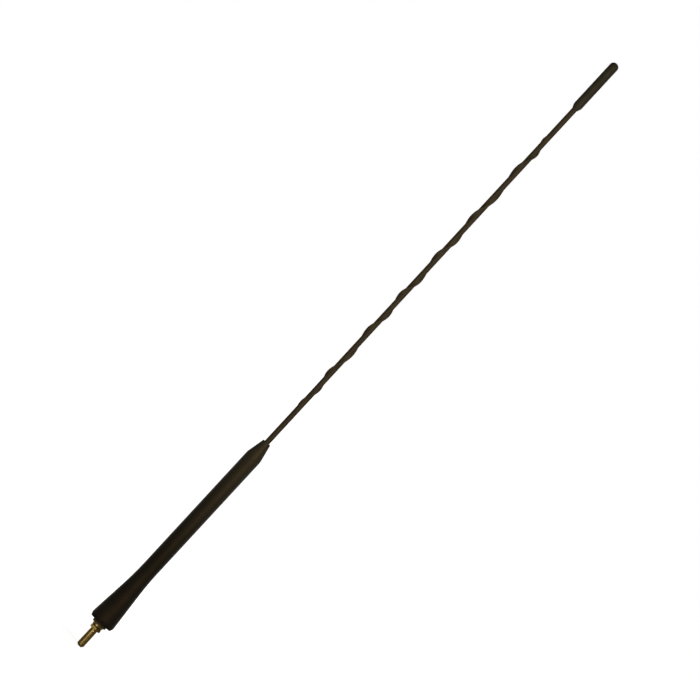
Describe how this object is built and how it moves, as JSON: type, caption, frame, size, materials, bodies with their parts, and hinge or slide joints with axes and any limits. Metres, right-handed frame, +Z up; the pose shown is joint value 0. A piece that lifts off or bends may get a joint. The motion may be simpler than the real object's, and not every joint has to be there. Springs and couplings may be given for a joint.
{
  "type": "car mast aerial",
  "caption": "Slim whip aerial for a car roof: threaded stud with a hexagon, flared moulded boot, sleeved whip with a spiral ridge, and a round-ended tip cap.",
  "frame": {"origin": "on the mast's axis, in the plane of the hexagon's underside, where the aerial seats on its roof base", "axes": "+Z up the mast to its tip, -Z out of the threaded end of the stud, -Y the side that the picture shows"},
  "size_m": [0.0192, 0.0192, 0.55],
  "materials": {
    "stud_brass": "turned, with a yellow tarnish",
    "seal_rubber": "matte",
    "boot_rubber": "moulded, satin",
    "rod_steel": "drawn",
    "sleeve_plastic": "satin",
    "cap_plastic": "moulded, satin"
  },
  "bodies": {
    "root": {"threaded_stud": "stud_brass", "seal_collar": "seal_rubber", "base_boot": "boot_rubber", "whip_rod": "rod_steel", "whip_sleeve": "sleeve_plastic", "tip_cap": "cap_plastic"}
  },
  "joints": []
}
